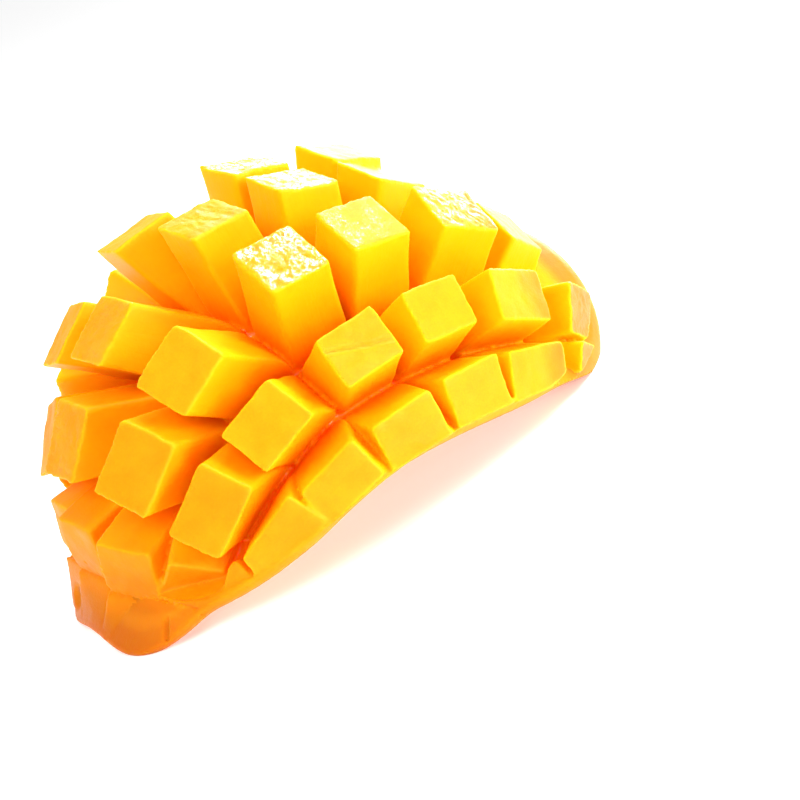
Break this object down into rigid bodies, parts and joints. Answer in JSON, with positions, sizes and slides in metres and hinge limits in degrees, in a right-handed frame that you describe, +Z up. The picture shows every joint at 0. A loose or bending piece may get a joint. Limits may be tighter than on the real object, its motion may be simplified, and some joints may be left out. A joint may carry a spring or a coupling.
{
  "type": "cubed mango half",
  "caption": "Mango half scored into cubes and turned inside out, its flesh fanned out over the arched skin.",
  "frame": {"origin": "under the middle of the piece, in the plane of the flat spots that it rests on", "axes": "+X from the stem tip towards the beak tip, +Y from the near rim towards the far rim, +Z up"},
  "size_m": [0.1346, 0.0944, 0.0699],
  "materials": {
    "mango": "wet yellow flesh with orange valleys, over smooth yellow-orange skin with pale specks"
  },
  "bodies": {
    "root": {"mango_half": "mango"}
  },
  "joints": []
}
